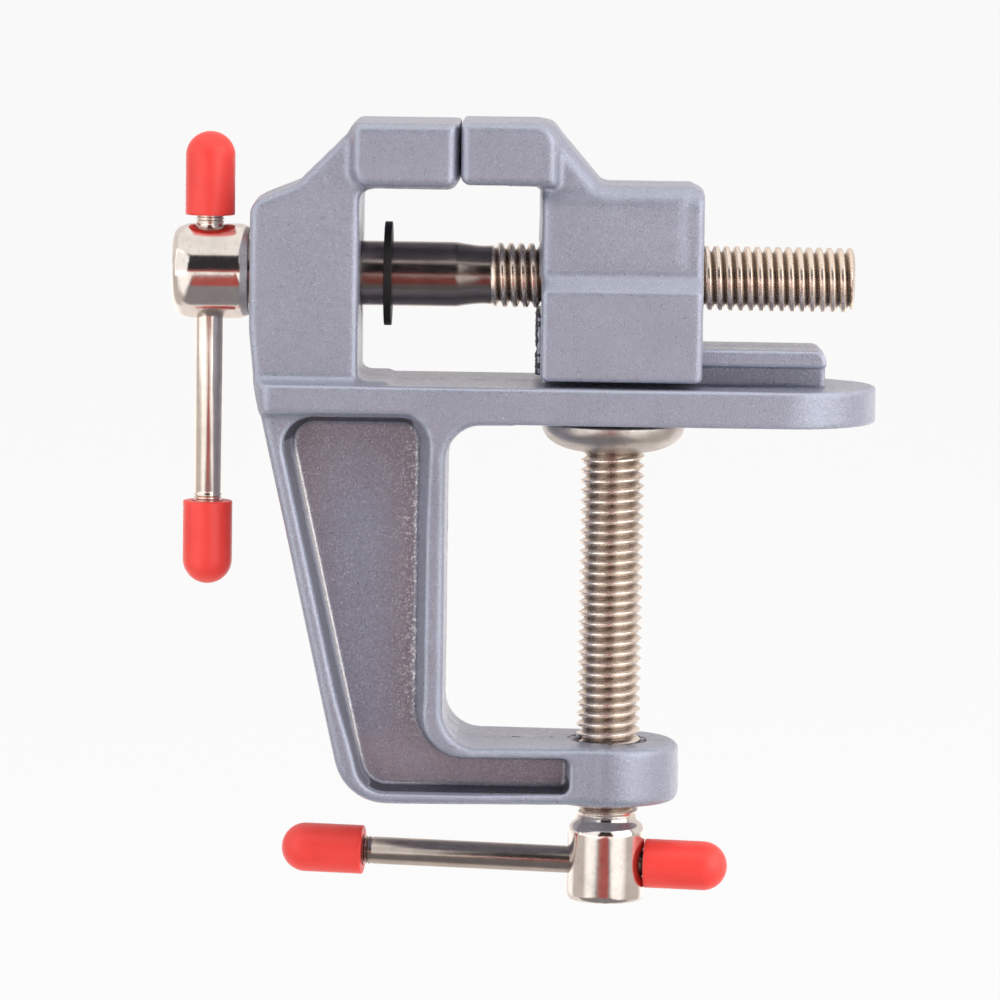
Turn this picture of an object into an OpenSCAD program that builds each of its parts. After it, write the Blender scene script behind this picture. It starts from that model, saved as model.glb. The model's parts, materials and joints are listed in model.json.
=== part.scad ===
// Miniature bench vise that clamps to the edge of a table.
// X runs along the jaw screw towards the plate's round end, Y runs across the jaws, Z is up.
// The origin is on the clamp screw's axis, in the plane of the base plate's underside.
// All sizes are in millimetres.

/* [Base plate] */
// Width of the base plate, which is also the diameter of its round end
plate_w = 23.4; // [22.6:0.2:25]
// Thickness of the base plate
plate_t = 4.7; // [4.2:0.1:4.8]
// Distance from the clamp screw's axis to the plate's square end
plate_back = 43.6; // [43:0.2:44]
// Distance from the clamp screw's axis to the plate's round end
plate_front = 32; // [30:0.5:36]

/* [Guide rail] */
// Width of the rail's flange
rail_w = 13.2; // [12:0.2:14]
// Width of the rail's neck
rail_neck_w = 6; // [5:0.2:7]
// Height of the flange's underside above the plate
rail_neck_h = 2.5; // [2.4:0.1:3]
// Thickness of the flange
rail_flange_t = 2.2; // [1.8:0.1:2.4]
// Distance from the clamp screw's axis to the rail's free end
rail_front = 25.6; // [24:0.5:28]

/* [Jaws] */
// Width of both gripping lips
lip_w = 23; // [21:0.5:25]
// Height of the lips' top above the plate's underside
lip_top = 36.2; // [35:0.2:37]
// Height of a lip from its underside to its top
lip_h = 7.7; // [7:0.1:8.2]
// Place of the fixed jaw's gripping face
fixed_face_x = -19.35; // [-19.6:0.05:-19.35]
// Gap between the gripping faces with the jaws closed
jaw_gap = 0.4; // [0.2:0.1:0.6]
// Width of the fixed jaw's wall
wall_w = 19.6; // [19:0.2:21]
// Width of the moving jaw's skirt
skirt_w = 21.2; // [20.6:0.2:22]
// Width of the moving jaw's upper block
block_w = 17.6; // [17:0.2:18]

/* [C-frame] */
// Depth of the clamping gap below the plate
gap_h = 39.4; // [38.5:0.2:40]
// Distance from the clamp screw's axis to the throat face
throat = 20.1; // [19.5:0.1:20.5]
// Height of the lower arm
arm_h = 7; // [6.6:0.2:7.4]
// Width of the C-frame at the throat
arm_w = 19.6; // [19:0.2:20]
// Thickness of the web between the recessed panels
web_t = 8.6; // [7:0.2:10]
// Radius of the boss around the clamp screw
boss_r = 8.65; // [8:0.05:9]

/* [Screws] */
// Outside diameter of both threads
thread_d = 7.85; // [7.7:0.05:7.9]
// Pitch of both threads
pitch = 1.25; // [1:0.25:1.5]
// Height of the jaw screw's axis above the plate's underside
screw_z = 17.5; // [17.2:0.1:17.8]
// Diameter of the jaw screw's plain shank
shank_d = 7.87; // [7.8:0.01:7.9]
// Diameter of the jaw screw's head
jaw_head_d = 11.6; // [11:0.2:12.4]
// Length of the jaw screw's head
jaw_head_l = 9.4; // [9:0.2:10.2]
// Diameter of the clamp screw's head
clamp_head_d = 9.5; // [9.3:0.1:10.2]
// Height of the clamp screw's head
clamp_head_h = 9.5; // [9:0.2:10]
// Outside diameter of the retaining ring
ring_d = 12.7; // [11:0.1:14]
// Diameter of the swivel pad
pad_d = 17.5; // [16:0.5:19]

/* [Handles] */
// Diameter of both handle bars
bar_d = 3.36; // [3.3:0.02:3.4]
// Overall length of a handle with both caps
handle_l = 55.4; // [54:0.2:57]
// Outside diameter of a cap
cap_d = 6.05; // [5.6:0.05:6.4]
// Length of a cap
cap_l = 10.2; // [9.8:0.1:10.6]
// Turn of the clamp handle about the clamp screw
clamp_handle_turn = 6; // [-60:1:60]
// Tilt of the clamp handle in the play of its hole
clamp_handle_tilt = 0.75; // [-0.75:0.25:0.75]

/* [Hidden] */
$fn = 72;

cast_colour = [0.63, 0.62, 0.68];
nickel_colour = [0.72, 0.68, 0.63];
ring_colour = [0.05, 0.05, 0.05];
cap_colour = [0.92, 0.23, 0.20];

// Running clearance, on the radius, between a shaft and its bore
running = 0.06;
// Clearance round the guide rail
rail_play = 0.2;
bore_r = thread_d / 2 + running;
plate_corner_r = 4;
plate_rake = 1.0;

// Fixed jaw
wall_in = -30.9;
wall_out = -44.4;
wall_foot_x = -42.8;
wall_waist_z = 9;
wall_shoulder_z = 26.4;
gooseneck_foot = [-38.6, wall_shoulder_z + 2.3];
gooseneck_top_x = -31.2;
lip_back = -31.6;
lip_bottom = lip_top - lip_h;

// Guide rail
rail_back = -8.5;
flange_z = plate_t + rail_neck_h;
rail_top = flange_z + rail_flange_t;
rail_end_r = 1.4;

// Moving jaw
moving_face_x = fixed_face_x + jaw_gap;
moving_rise = 0.3;
moving_top = lip_top + moving_rise;
moving_lip_back = -7.2;
block_back = -9.1;
block_front = 10.6;
block_top = 28.9;
neck_w = block_w - 2;
neck_back = block_back - 3;
neck_front = block_front - 2;
neck_top = moving_top - 0.4;
neck_brow_x = -7.9;
neck_foot_x = -1.8;
skirt_gap = 0.4;
skirt_bottom = plate_t + skirt_gap;
skirt_top = 16.2;
shoulder_h = 2;

// C-frame
c_left = -42.6;
c_slope = 0.224;
arm_top = -gap_h;
arm_bottom = arm_top - arm_h;
throat_r = 4.3;
flare_h = 12;
heel_r = 6.5;
boss_top = arm_top + 0.1;
boss_bottom = arm_bottom - 0.4;

// Recessed panel
panel_left = -39.3;
panel_right = -throat - 3.6;
panel_top = -0.3;
panel_bottom = arm_bottom + 1.4;
panel_front = -5;
panel_arm_top = arm_top - 1.5;

// Thread form
crest = thread_d / 2;
root = crest - 0.6 * pitch;
crest_flat = 0.14 * pitch;
flank = 0.36 * pitch;

// Jaw screw
jaw_head_front = -44.6;
jaw_head_back = jaw_head_front - jaw_head_l;
jaw_bar_x = -49.5;
head_chamfer = 0.9;
shank_end = -19.4;
neck_x = -15.8;
neck_r = 3.5;
jaw_thread_start = -15.3;
jaw_thread_end = 29;
ring_x = -27.7;
ring_t = 0.9;

// Clamp screw and pad
pad_top = -0.3;
pad_rim_h = 1.3;
pad_bottom = -3.8;
pad_foot_r = 3.8;
pad_recess_r = 3.3;
pad_recess_h = 1.2;
stub_r = 2;
peen_r = 2.7;
peen_h = 0.7;
peen_gap = 0.1;
screw_tip = pad_bottom - 0.1;
clamp_thread_end = -48.1;
clamp_neck_z = -48.5;
clamp_head_top = -50.4;
clamp_shoulder_z = -50;
clamp_head_bottom = clamp_shoulder_z - clamp_head_h;
clamp_neck_r = 3.65;
clamp_bar_z = -54.7;

// Handles
bar_hole_r = bar_d / 2 + 0.12;
grip_r = bar_d / 2 + 0.05;
grip_l = 6.8;
cap_bore_r = grip_r + 0.02;
cap_bore_l = cap_l - 4;
bar_end_gap = 4.2;
jaw_handle_top = 34.5;
cap_gap = 0.05;
clamp_handle_right = clamp_head_d / 2 + cap_gap + cap_l;

function unit(v) = v / norm(v);

// Points of the arc that rounds corner b between its neighbours a and c; each is [x, y, radius]
function corner_arc(a, b, c, steps = 6) =
    let (
        tip = [b[0], b[1]],
        to_a = unit([a[0], a[1]] - tip),
        to_c = unit([c[0], c[1]] - tip),
        half = acos(to_a * to_c) / 2,
        centre = tip + unit(to_a + to_c) * b[2] / sin(half),
        first = tip + to_a * b[2] / tan(half) - centre,
        last = tip + to_c * b[2] / tan(half) - centre,
        start = atan2(first[1], first[0]),
        sweep = atan2(cross(first, last), first * last)
    )
    [for (i = [0 : steps]) centre + b[2] * [cos(start + sweep * i / steps), sin(start + sweep * i / steps)]];

// Outline through the given corners, each rounded to its own radius
function rounded(corners) =
    let (count = len(corners))
    [for (i = [0 : count - 1])
        each corners[i][2] == 0
            ? [[corners[i][0], corners[i][1]]]
            : corner_arc(corners[(i + count - 1) % count], corners[i], corners[(i + 1) % count])];

// Slab with an outline in X and Z, centred on the middle plane
module side_slab(corners, width) {
    rotate([90, 0, 0])
        linear_extrude(width, center = true)
            polygon(rounded(corners));
}

// Bar with an outline in Y and Z, from x0 to x1
module cross_bar(corners, x0, x1) {
    translate([x0, 0, 0])
        rotate([90, 0, 90])
            linear_extrude(x1 - x0)
                polygon(rounded(corners));
}

// Round bore along X at the jaw screw's height
module jaw_screw_bore(x0, x1, r) {
    translate([x0, 0, screw_z])
        rotate([0, 90, 0])
            cylinder(h = x1 - x0, r = r);
}

module base_plate() {
    back = -plate_back;
    half_w = plate_w / 2;
    intersection() {
        linear_extrude(plate_t) {
            translate([plate_front - half_w, 0])
                circle(r = half_w);
            polygon(rounded([
                [back, -half_w, plate_corner_r],
                [plate_front - half_w, -half_w, 0],
                [plate_front - half_w, half_w, 0],
                [back, half_w, plate_corner_r]]));
        }
        side_slab([
            [back + plate_rake, 0, 0],
            [back, plate_t, 0],
            [plate_front, plate_t, 0],
            [plate_front, 0, 0]], plate_w);
    }
}

module guide_rail() {
    intersection() {
        cross_bar([
            [rail_neck_w / 2, plate_t - 1, 0],
            [rail_neck_w / 2, flange_z, 0],
            [rail_w / 2, flange_z, 0],
            [rail_w / 2, rail_top, 0.4],
            [-rail_w / 2, rail_top, 0.4],
            [-rail_w / 2, flange_z, 0],
            [-rail_neck_w / 2, flange_z, 0],
            [-rail_neck_w / 2, plate_t - 1, 0]], rail_back, rail_front);
        side_slab([
            [rail_back, 0, 0],
            [rail_front, 0, 0],
            [rail_front, rail_top, rail_end_r],
            [rail_back, rail_top, 0]], plate_w);
    }
}

// Wall, gooseneck and lip of the fixed jaw
module fixed_jaw() {
    difference() {
        union() {
            side_slab([
                [wall_foot_x, 1, 0],
                [wall_out, wall_waist_z, 8],
                [wall_out, wall_shoulder_z, 2],
                [gooseneck_foot[0], gooseneck_foot[1], 2],
                [gooseneck_top_x, lip_top, 1.5],
                [fixed_face_x, lip_top, 0.6],
                [fixed_face_x, lip_bottom, 1],
                [wall_in, lip_bottom, 1.5],
                [wall_in, plate_t, 1.2],
                [wall_in + 3, plate_t, 0],
                [wall_in + 3, 1, 0]], wall_w);
            side_slab([
                [lip_back, lip_bottom, 1.5],
                [lip_back, lip_top, 1],
                [fixed_face_x, lip_top, 0.6],
                [fixed_face_x, lip_bottom, 1]], lip_w);
        }
        jaw_screw_bore(wall_out - 1, wall_in + 1, bore_r);
    }
}

// Outline of the C-frame, with its top edge sunk into the plate
function c_outline() = [
    [c_left - c_slope, 1, 0],
    [c_left - c_slope * arm_bottom, arm_bottom, heel_r],
    [0, arm_bottom, 0],
    [0, arm_top, 0],
    [-throat, arm_top, throat_r],
    [-throat, 0, throat_r],
    [-throat + throat_r + 1, 0, 0],
    [-throat + throat_r + 1, 1, 0]];

// Recessed panel on one side of the web
function panel_outline() = [
    [panel_left, panel_top, 2.5],
    [panel_left + c_slope * (panel_top - panel_bottom), panel_bottom, 3.5],
    [panel_front, panel_bottom, 0.8],
    [panel_front, panel_arm_top, 0.8],
    [panel_right, panel_arm_top, 6.5],
    [panel_right, panel_top, 1.5]];

module c_frame() {
    recess = (arm_w - web_t) / 2;
    difference() {
        union() {
            intersection() {
                side_slab(c_outline(), arm_w);
                // The arm narrows from the throat to the boss
                translate([0, 0, boss_bottom - 1])
                    linear_extrude(plate_t - boss_bottom)
                        polygon([
                            [-plate_back, -arm_w / 2],
                            [-throat, -arm_w / 2],
                            [0, -boss_r],
                            [0, boss_r],
                            [-throat, arm_w / 2],
                            [-plate_back, arm_w / 2]]);
            }
            // The throat's rim widens to meet the plate's side faces
            intersection() {
                side_slab(c_outline(), plate_w);
                cross_bar([
                    [arm_w / 2, -flare_h, 0],
                    [plate_w / 2, 0, 0],
                    [plate_w / 2, 1, 0],
                    [-plate_w / 2, 1, 0],
                    [-plate_w / 2, 0, 0],
                    [-arm_w / 2, -flare_h, 0]], panel_right, throat_r + 1 - throat);
            }
            translate([0, 0, boss_bottom])
                cylinder(h = boss_top - boss_bottom, r = boss_r);
        }
        for (side = [-1, 1])
            translate([0, side * (web_t + recess + 1) / 2, 0])
                side_slab(panel_outline(), recess + 1);
        translate([0, 0, boss_bottom - 1])
            cylinder(h = boss_top - boss_bottom + 2, r = bore_r);
    }
}

module frame() {
    color(cast_colour)
        union() {
            base_plate();
            guide_rail();
            fixed_jaw();
            c_frame();
        }
}

module moving_jaw() {
    color(cast_colour)
        difference() {
            union() {
                side_slab([
                    [moving_face_x, moving_top - lip_h, 1],
                    [moving_face_x, moving_top, 0.6],
                    [moving_lip_back, moving_top, 1.8],
                    [moving_lip_back, moving_top - lip_h, 0.6]], lip_w);
                side_slab([
                    [block_back, skirt_top, 0],
                    [block_back, moving_top - lip_h, 1],
                    [neck_back, moving_top - lip_h, 0],
                    [neck_back, neck_top, 0],
                    [neck_brow_x, neck_top, 1],
                    [neck_foot_x, block_top, 1.5],
                    [neck_front, block_top, 0],
                    [neck_front, skirt_top, 0]], neck_w);
                cross_bar([
                    [skirt_w / 2, skirt_bottom, 0.8],
                    [skirt_w / 2, skirt_top, 0.6],
                    [block_w / 2, skirt_top + shoulder_h, 1.5],
                    [block_w / 2, block_top, 2.7],
                    [-block_w / 2, block_top, 2.7],
                    [-block_w / 2, skirt_top + shoulder_h, 1.5],
                    [-skirt_w / 2, skirt_top, 0.6],
                    [-skirt_w / 2, skirt_bottom, 0.8]], block_back, block_front);
            }
            t_slot();
            jaw_screw_bore(block_back - 1, block_front + 1, bore_r);
        }
}

// Slot that wraps round the guide rail
module t_slot() {
    neck = rail_neck_w / 2 + rail_play;
    flange = rail_w / 2 + rail_play;
    cross_bar([
        [neck, skirt_bottom - 1, 0],
        [neck, flange_z - rail_play, 0],
        [flange, flange_z - rail_play, 0],
        [flange, rail_top + rail_play, 0],
        [-flange, rail_top + rail_play, 0],
        [-flange, flange_z - rail_play, 0],
        [-neck, flange_z - rail_play, 0],
        [-neck, skirt_bottom - 1, 0]], block_back - 1, block_front + 1);
}

// Half-profile of a thread as rings at the real pitch, from a to b along the axis
function thread_profile(a, b) =
    let (turns = floor((b - a) / pitch))
    [for (i = [0 : turns - 1])
        each [
            [root, a + i * pitch],
            [crest, a + i * pitch + flank],
            [crest, a + i * pitch + flank + crest_flat],
            [root, a + i * pitch + 2 * flank + crest_flat]]];

module jaw_screw() {
    head_r = jaw_head_d / 2;
    color(nickel_colour)
        difference() {
            translate([0, 0, screw_z])
                rotate([0, 90, 0])
                    rotate_extrude()
                        polygon(concat(
                            [[0, jaw_head_back],
                             [head_r - head_chamfer, jaw_head_back],
                             [head_r, jaw_head_back + head_chamfer],
                             [head_r, jaw_head_front - head_chamfer],
                             [head_r - head_chamfer, jaw_head_front],
                             [shank_d / 2, jaw_head_front],
                             [shank_d / 2, shank_end],
                             [neck_r, neck_x]],
                            thread_profile(jaw_thread_start, jaw_thread_end - 0.5),
                            [[root, jaw_thread_end],
                             [0, jaw_thread_end]]));
            translate([jaw_bar_x, 0, screw_z])
                cylinder(h = jaw_head_d + 2, r = bar_hole_r, center = true);
        }
}

module retaining_ring() {
    color(ring_colour)
        translate([ring_x - ring_t / 2, 0, screw_z])
            rotate([0, 90, 0])
                difference() {
                    cylinder(h = ring_t, d = ring_d);
                    translate([0, 0, -1])
                        cylinder(h = ring_t + 2, r = shank_d / 2 + 0.02);
                }
}

// Handle bar standing on z = 0, with a slightly thicker grip for the cap at each end
module handle_bar() {
    length = handle_l - 2 * bar_end_gap;
    color(nickel_colour)
        rotate_extrude()
            polygon([
                [0, 0],
                [grip_r - 0.3, 0],
                [grip_r, 0.3],
                [grip_r, grip_l],
                [bar_d / 2, grip_l],
                [bar_d / 2, length - grip_l],
                [grip_r, length - grip_l],
                [grip_r, length - 0.3],
                [grip_r - 0.3, length],
                [0, length]]);
}

// Cap with its open end at z = 0 and its domed end up
module handle_cap() {
    dome_z = cap_l - cap_d / 2;
    color(cap_colour)
        difference() {
            union() {
                cylinder(h = dome_z, d = cap_d);
                translate([0, 0, dome_z])
                    sphere(d = cap_d);
            }
            translate([0, 0, -1])
                cylinder(h = cap_bore_l + 1, r = cap_bore_r);
        }
}

// Puts a part that is built along +Z on the jaw handle's axis, at height z
module on_jaw_handle(z) {
    translate([jaw_bar_x, 0, z])
        children();
}

// Puts a part that is built along +Z on the clamp handle's axis, s along the bar from the screw
module on_clamp_handle(s) {
    translate([0, 0, clamp_bar_z])
        rotate([0, clamp_handle_tilt, -clamp_handle_turn])
            translate([s, 0, 0])
                rotate([0, 90, 0])
                    children();
}

module jaw_handle_bar() {
    on_jaw_handle(jaw_handle_top - handle_l + bar_end_gap)
        handle_bar();
}

module jaw_handle_cap_upper() {
    on_jaw_handle(jaw_handle_top - cap_l)
        handle_cap();
}

module jaw_handle_cap_lower() {
    on_jaw_handle(jaw_handle_top - handle_l + cap_l)
        mirror([0, 0, 1])
            handle_cap();
}

module clamp_screw() {
    head_r = clamp_head_d / 2;
    peen_z = pad_top - pad_recess_h + peen_gap;
    color(nickel_colour)
        difference() {
            rotate_extrude()
                polygon(concat(
                    [[0, clamp_head_bottom],
                     [head_r - head_chamfer, clamp_head_bottom],
                     [head_r, clamp_head_bottom + head_chamfer],
                     [head_r, clamp_head_top],
                     [clamp_neck_r, clamp_neck_z],
                     [clamp_neck_r, clamp_thread_end]],
                    thread_profile(clamp_thread_end, screw_tip - 0.3),
                    [[root, screw_tip],
                     [stub_r, screw_tip],
                     [stub_r, peen_z],
                     [peen_r, peen_z],
                     [peen_r - 0.4, peen_z + peen_h],
                     [0, peen_z + peen_h]]));
            translate([0, 0, clamp_bar_z])
                rotate([0, 90, -clamp_handle_turn])
                    cylinder(h = clamp_head_d + 2, r = bar_hole_r, center = true);
        }
}

module swivel_pad() {
    rim_z = pad_top - pad_rim_h;
    color(nickel_colour)
        difference() {
            rotate_extrude()
                polygon(concat(
                    [[0, pad_top],
                     [pad_d / 2, pad_top]],
                    [for (a = [0 : 15 : 90])
                        [pad_foot_r + (pad_d / 2 - pad_foot_r) * cos(a),
                         rim_z + (pad_bottom - rim_z) * sin(a)]],
                    [[0, pad_bottom]]));
            translate([0, 0, pad_top - pad_recess_h])
                cylinder(h = pad_recess_h + 1, r = pad_recess_r);
            translate([0, 0, pad_bottom - 1])
                cylinder(h = -pad_bottom + 1, r = stub_r + running);
        }
}

module clamp_handle_bar() {
    on_clamp_handle(clamp_handle_right - handle_l + bar_end_gap)
        handle_bar();
}

module clamp_handle_cap_left() {
    on_clamp_handle(clamp_handle_right - handle_l + cap_l)
        mirror([0, 0, 1])
            handle_cap();
}

module clamp_handle_cap_right() {
    on_clamp_handle(clamp_handle_right - cap_l)
        handle_cap();
}

frame();
moving_jaw();
jaw_screw();
retaining_ring();
jaw_handle_bar();
jaw_handle_cap_upper();
jaw_handle_cap_lower();
clamp_screw();
swivel_pad();
clamp_handle_bar();
clamp_handle_cap_left();
clamp_handle_cap_right();
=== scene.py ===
import json
import math

import bmesh
import bpy
import numpy as np
from mathutils import Matrix, Vector


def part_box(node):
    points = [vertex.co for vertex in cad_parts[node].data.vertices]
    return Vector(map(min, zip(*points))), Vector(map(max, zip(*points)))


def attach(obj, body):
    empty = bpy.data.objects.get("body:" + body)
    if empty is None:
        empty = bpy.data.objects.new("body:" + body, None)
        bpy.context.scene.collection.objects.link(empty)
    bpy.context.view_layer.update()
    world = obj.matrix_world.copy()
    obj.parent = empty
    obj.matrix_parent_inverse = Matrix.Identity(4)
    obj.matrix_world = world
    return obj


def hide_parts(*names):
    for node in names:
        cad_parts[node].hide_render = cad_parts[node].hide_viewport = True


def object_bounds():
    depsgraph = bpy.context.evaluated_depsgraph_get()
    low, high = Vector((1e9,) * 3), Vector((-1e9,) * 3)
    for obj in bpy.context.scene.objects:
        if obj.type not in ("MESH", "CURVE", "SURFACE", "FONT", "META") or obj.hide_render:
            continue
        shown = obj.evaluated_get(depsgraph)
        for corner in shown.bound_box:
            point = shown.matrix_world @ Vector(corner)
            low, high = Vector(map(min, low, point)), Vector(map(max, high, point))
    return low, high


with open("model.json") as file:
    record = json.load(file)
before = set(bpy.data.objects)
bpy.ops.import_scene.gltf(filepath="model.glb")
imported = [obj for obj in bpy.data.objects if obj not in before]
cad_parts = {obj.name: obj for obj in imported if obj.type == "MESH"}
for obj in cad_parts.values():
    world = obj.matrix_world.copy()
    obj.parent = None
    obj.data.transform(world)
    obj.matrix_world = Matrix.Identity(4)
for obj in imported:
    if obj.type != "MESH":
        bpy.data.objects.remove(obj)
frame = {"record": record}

MM = 0.001
CAD_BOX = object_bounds()


def node_box(name):
    """Lowest and highest corners of a CAD node, in millimetres."""
    lo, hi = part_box(name)
    return np.array(lo) / MM, np.array(hi) / MM


FRAME_LO, FRAME_HI = node_box("frame")
JAW_LO, JAW_HI = node_box("moving_jaw")
SCREW_LO, SCREW_HI = node_box("jaw_screw")
RING_LO, RING_HI = node_box("retaining_ring")
CLAMP_LO, CLAMP_HI = node_box("clamp_screw")
PAD_HI = node_box("swivel_pad")[1]

# ---------------------------------------------------------------- sizes shared by several pieces
SCREW_Z = (SCREW_LO[2] + SCREW_HI[2]) / 2
JOINTS = {joint["name"]: joint for joint in frame["record"]["behaviour"]["joints"]}
JAW_HEAD_X = SCREW_LO[0] + 9.4    # inner end of the jaw screw's head
CLAMP_HEAD_Z = -48.4              # upper end of the clamp screw's head
JAW_BAR_X = JOINTS["jaw_screw_spin"]["pos_m"][0] / MM
CLAMP_BAR_Z = JOINTS["clamp_screw_spin"]["pos_m"][2] / MM
BAR_AXIS = np.array(JOINTS["clamp_handle_slide"]["axis"])
BORE_R = 3.985
PITCH = 1.25
THREAD_R = 3.925     # the thread's crests
BLANK_R = 3.56       # the blank that the thread is rolled on
ROOT_R = 3.16        # the thread's roots
SHANK_R = 3.93
JAW_THREAD_X = -15.3     # inner end of the jaw screw's thread
CLAMP_THREAD_Z = -48.8   # lower end of the clamp screw's thread
BAR_R = 1.68
GRIP_R = 1.73
BAR_HOLE_R = 1.79
CAP_R = 3.02
CAP_L = node_box("jaw_handle_cap_upper")[1][2] - node_box("jaw_handle_cap_upper")[0][2]
BAR_END_GAP = 4.2    # from the end of a cap to the bar's end inside it
SKIN = 0.05          # how far the castings' faces lie inside the CAD faces
DRAFT = 0.006        # slope of the castings' sides away from their parting plane
PANEL_SLOPE = 0.2    # slope of the panels' walls; the arm's part is steeper
WEB_HALF = 4.3       # half the thickness of the web between the panels
PANEL_LEAN = 0.223   # how far the panel's left edge moves along X for each millimetre down


# ---------------------------------------------------------------- outlines with rounded corners
def rounded(corners, steps=7):
    """Outline through corners (x, y, radius), each rounded with an arc."""
    points = []
    count = len(corners)
    for i, (bx, by, r) in enumerate(corners):
        tip = np.array((bx, by))
        if r == 0:
            points.append(tip)
            continue
        to_a = np.array(corners[i - 1][:2]) - tip
        to_c = np.array(corners[(i + 1) % count][:2]) - tip
        to_a /= np.linalg.norm(to_a)
        to_c /= np.linalg.norm(to_c)
        half = math.acos(float(np.dot(to_a, to_c))) / 2
        middle = to_a + to_c
        centre = tip + middle / np.linalg.norm(middle) * r / math.sin(half)
        first = tip + to_a * r / math.tan(half) - centre
        last = tip + to_c * r / math.tan(half) - centre
        start = math.atan2(first[1], first[0])
        sweep = math.atan2(first[0] * last[1] - first[1] * last[0], float(np.dot(first, last)))
        for k in range(steps + 1):
            angle = start + sweep * k / steps
            points.append(centre + r * np.array((math.cos(angle), math.sin(angle))))
    return np.array(points)


def mirrored(corners):
    """Corners of an outline's right half, followed by their mirror images."""
    return corners + [(-u, v, r) for u, v, r in reversed(corners)]


# ---------------------------------------------------------------- signed distances, negative inside
def outline_distance(u, v, outline):
    """Distance to a closed outline in the u, v plane."""
    best = np.full(np.broadcast(u, v).shape, 1e9, np.float32)
    inside = np.zeros(best.shape, bool)
    for (u0, v0), (u1, v1) in zip(outline, np.roll(outline, -1, axis=0)):
        du, dv = u1 - u0, v1 - v0
        along = ((u - u0) * du + (v - v0) * dv) / (du * du + dv * dv)
        along = np.clip(along, 0, 1)
        best = np.minimum(best, (u - u0 - along * du) ** 2 + (v - v0 - along * dv) ** 2)
        if dv != 0:
            inside ^= ((v0 > v) != (v1 > v)) & (u < du * (v - v0) / dv + u0)
    return np.where(inside, -1, 1) * np.sqrt(best)


def meet(a, b, r):
    """Overlap of two solids, with the edge between them rounded to radius r."""
    u = np.maximum(r + a, 0)
    v = np.maximum(r + b, 0)
    return np.minimum(-r, np.maximum(a, b)) + np.hypot(u, v)


def join(a, b, r):
    """Union of two solids, with a fillet of radius r between them."""
    return -meet(-a, -b, r)


def cut(a, b, r):
    """Solid a without solid b, with the new edge rounded to radius r."""
    return meet(a, -b, r)


def rod(u, v, cu, cv, r):
    """Endless round rod across the u, v plane."""
    return np.hypot(u - cu, v - cv) - r


def smooth_step(value, start, end):
    """Rises smoothly from 0 at start to 1 at end."""
    t = np.clip((value - start) / (end - start), 0, 1)
    return t * t * (3 - 2 * t)


def ripple(x, y, z, wavelength, seed):
    """Smooth unevenness between about -1 and 1, from a few seeded sine waves."""
    rng = np.random.default_rng(seed)
    total = 0
    waves = 5
    for _ in range(waves):
        direction = rng.normal(size=3)
        direction /= np.linalg.norm(direction)
        k = direction * 2 * math.pi / (wavelength * rng.uniform(0.7, 1.4))
        total = total + np.sin(x * k[0] + y * k[1] + z * k[2] + rng.uniform(0, 2 * math.pi))
    return total / math.sqrt(waves * 2)


# ---------------------------------------------------------------- from distance field to mesh
CUBE = np.array([(i, j, k) for i in (0, 1) for j in (0, 1) for k in (0, 1)])
CUBE_EDGES = [(a, b) for a in range(8) for b in range(a + 1, 8) if abs(CUBE[a] - CUBE[b]).sum() == 1]


def surface_net(solid, lo, hi, step):
    """Vertices and quads of a solid's surface, by surface nets on a grid."""
    lo = np.array(lo) - 2 * step
    counts = np.ceil((np.array(hi) + 2 * step - lo) / step).astype(int) + 1
    axes = [(lo[i] + step * np.arange(counts[i])).astype(np.float32) for i in range(3)]
    field = solid(axes[0][:, None, None], axes[1][None, :, None], axes[2][None, None, :])
    field = np.broadcast_to(field, counts).astype(np.float32)
    inside = field < 0
    filled = np.zeros(counts - 1, np.int8)
    for i, j, k in CUBE:
        filled += inside[i:counts[0] - 1 + i, j:counts[1] - 1 + j, k:counts[2] - 1 + k]
    cells = np.argwhere((filled > 0) & (filled < 8))
    at = [field[tuple((cells + corner).T)] for corner in CUBE]
    total = np.zeros((len(cells), 3))
    hits = np.zeros(len(cells))
    for a, b in CUBE_EDGES:
        crossed = (at[a] < 0) != (at[b] < 0)
        t = np.where(crossed, at[a] / np.where(crossed, at[a] - at[b], 1), 0)
        total += crossed[:, None] * (CUBE[a] + t[:, None] * (CUBE[b] - CUBE[a]))
        hits += crossed
    points = lo + step * (cells + total / hits[:, None])
    cell_id = np.full(counts - 1, -1, np.int32)
    cell_id[tuple(cells.T)] = np.arange(len(cells))
    quads = []
    for axis in range(3):
        low = [slice(None)] * 3
        high = [slice(None)] * 3
        low[axis] = slice(0, -1)
        high[axis] = slice(1, None)
        a, b = inside[tuple(low)], inside[tuple(high)]
        edges = np.argwhere(a != b)
        step_u = np.eye(3, dtype=int)[(axis + 1) % 3]
        step_v = np.eye(3, dtype=int)[(axis + 2) % 3]
        shifts = (0 * step_u, step_u, step_u + step_v, step_v)
        ring = np.stack([cell_id[tuple((edges - shift).T)] for shift in shifts], axis=1)
        outward = a[tuple(edges.T)]
        quads.append(np.where(outward[:, None], ring, ring[:, ::-1]))
    return points, np.concatenate(quads)


def settle(solid, points, step, rounds=3):
    """Moves points onto the solid's surface along its gradient."""
    nudge = 0.02
    for _ in range(rounds):
        x, y, z = points.T
        here = solid(x, y, z)
        slope = np.stack([
            solid(x + nudge, y, z) - solid(x - nudge, y, z),
            solid(x, y + nudge, z) - solid(x, y - nudge, z),
            solid(x, y, z + nudge) - solid(x, y, z - nudge)], axis=1) / (2 * nudge)
        square = np.maximum((slope ** 2).sum(axis=1), 0.25)
        points = points - np.clip(here / square, -step, step)[:, None] * slope
    return points


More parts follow.
